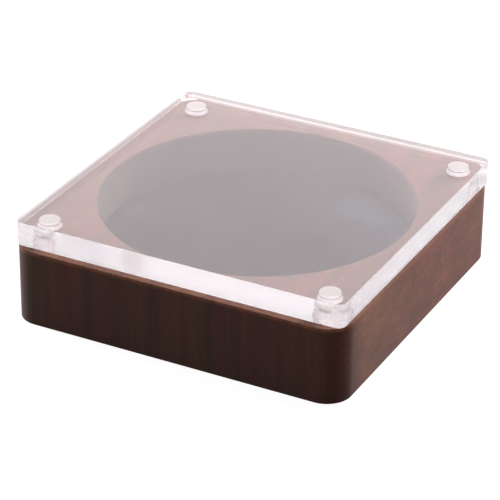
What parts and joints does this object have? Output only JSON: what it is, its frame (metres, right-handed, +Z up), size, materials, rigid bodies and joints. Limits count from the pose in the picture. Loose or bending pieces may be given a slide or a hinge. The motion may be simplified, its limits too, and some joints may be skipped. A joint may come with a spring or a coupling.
{
  "type": "coin display case",
  "caption": "Square walnut block with a round lined recess for a large coin or medal, closed by a thick clear plate that magnets hold on.",
  "frame": {"origin": "centre of the walnut block's underside, on the surface it stands on", "axes": "+Z up through the recess and the plate, front towards -Y, +X to the right seen from the front"},
  "size_m": [0.089, 0.089, 0.0262],
  "materials": {
    "walnut": "oiled, satin",
    "lining_board": "matt",
    "lining_cloth": "short pile",
    "clear_acrylic": "polished",
    "nickel": "bright nickel plate"
  },
  "bodies": {
    "base": {"walnut_block": "walnut", "lining_board": "lining_board", "lining_cloth": "lining_cloth", "block_magnet_front_left": "nickel", "block_magnet_front_right": "nickel", "block_magnet_back_right": "nickel", "block_magnet_back_left": "nickel"},
    "lid": {"acrylic_plate": "clear_acrylic", "plate_magnet_front_left": "nickel", "plate_magnet_front_right": "nickel", "plate_magnet_back_right": "nickel", "plate_magnet_back_left": "nickel"}
  },
  "joints": [
    {"name": "lid_lift", "type": "slide", "parent": "base", "child": "lid", "axis": [0, 0, 1], "range_m": [0, 0.04]}
  ]
}
